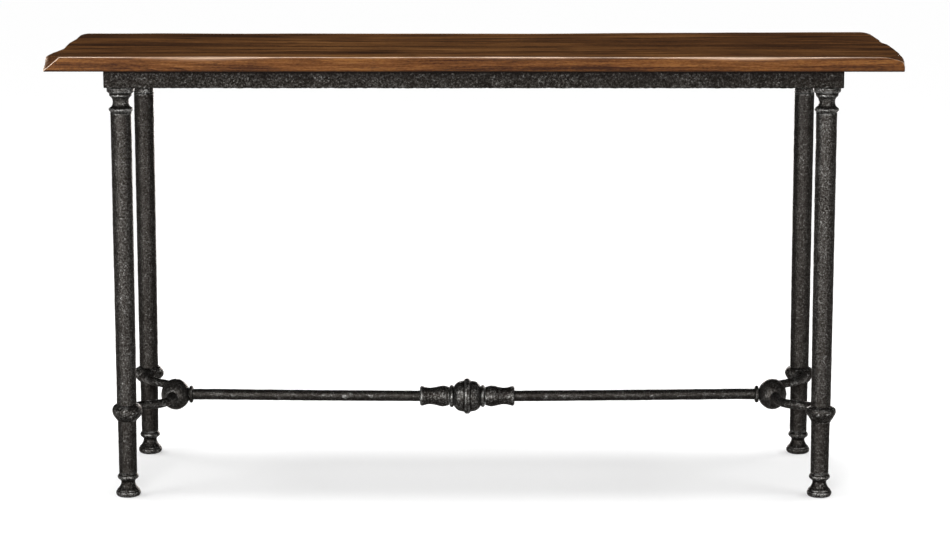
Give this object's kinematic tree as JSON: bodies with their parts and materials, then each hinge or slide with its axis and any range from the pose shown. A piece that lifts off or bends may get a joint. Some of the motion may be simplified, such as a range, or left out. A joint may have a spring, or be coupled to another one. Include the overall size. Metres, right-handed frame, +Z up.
{
  "type": "console table",
  "caption": "Long narrow console table: a walnut top with hand-worked edges on blackened cast iron legs joined by curved side yokes and a long stretcher with a turned knop.",
  "frame": {"origin": "on the floor under the middle of the top", "axes": "+X along the length towards the right end, +Y to the rear, +Z up"},
  "size_m": [1.5241, 0.4562, 0.813],
  "materials": {
    "walnut": "satin, hand-rubbed walnut stain",
    "cast_iron": "blackened, hammered, with pewter-grey worn highlights",
    "steel": "dark zinc"
  },
  "bodies": {
    "root": {"corner_plate_front_left": "cast_iron", "corner_plate_front_right": "cast_iron", "corner_plate_rear_left": "cast_iron", "corner_plate_rear_right": "cast_iron", "frame_rail_front": "cast_iron", "frame_rail_left": "cast_iron", "frame_rail_rear": "cast_iron", "frame_rail_right": "cast_iron", "leg_bolt_front_left": "steel", "leg_bolt_front_right": "steel", "leg_bolt_rear_left": "steel", "leg_bolt_rear_right": "steel", "leg_capital_front_left": "cast_iron", "leg_capital_front_right": "cast_iron", "leg_capital_rear_left": "cast_iron", "leg_capital_rear_right": "cast_iron", "leg_collar_front_left": "cast_iron", "leg_collar_front_right": "cast_iron", "leg_collar_rear_left": "cast_iron", "leg_collar_rear_right": "cast_iron", "leg_foot_front_left": "cast_iron", "leg_foot_front_right": "cast_iron", "leg_foot_rear_left": "cast_iron", "leg_foot_rear_right": "cast_iron", "leg_lower_shaft_front_left": "cast_iron", "leg_lower_shaft_front_right": "cast_iron", "leg_lower_shaft_rear_left": "cast_iron", "leg_lower_shaft_rear_right": "cast_iron", "leg_upper_shaft_front_left": "cast_iron", "leg_upper_shaft_front_right": "cast_iron", "leg_upper_shaft_rear_left": "cast_iron", "leg_upper_shaft_rear_right": "cast_iron", "stretcher_bead_left": "cast_iron", "stretcher_bead_right": "cast_iron", "stretcher_flange_left": "cast_iron", "stretcher_flange_right": "cast_iron", "stretcher_knop": "cast_iron", "stretcher_rod_left": "cast_iron", "stretcher_rod_right": "cast_iron", "stretcher_sleeve_left": "cast_iron", "stretcher_sleeve_right": "cast_iron", "top_board_front": "walnut", "top_board_rear": "walnut", "top_screw_end_left": "steel", "top_screw_end_right": "steel", "top_screw_front_left": "steel", "top_screw_front_middle": "steel", "top_screw_front_right": "steel", "top_screw_rear_left": "steel", "top_screw_rear_middle": "steel", "top_screw_rear_right": "steel", "yoke_arm_front_left": "cast_iron", "yoke_arm_front_right": "cast_iron", "yoke_arm_rear_left": "cast_iron", "yoke_arm_rear_right": "cast_iron", "yoke_ball_left": "cast_iron", "yoke_ball_right": "cast_iron"}
  },
  "joints": []
}
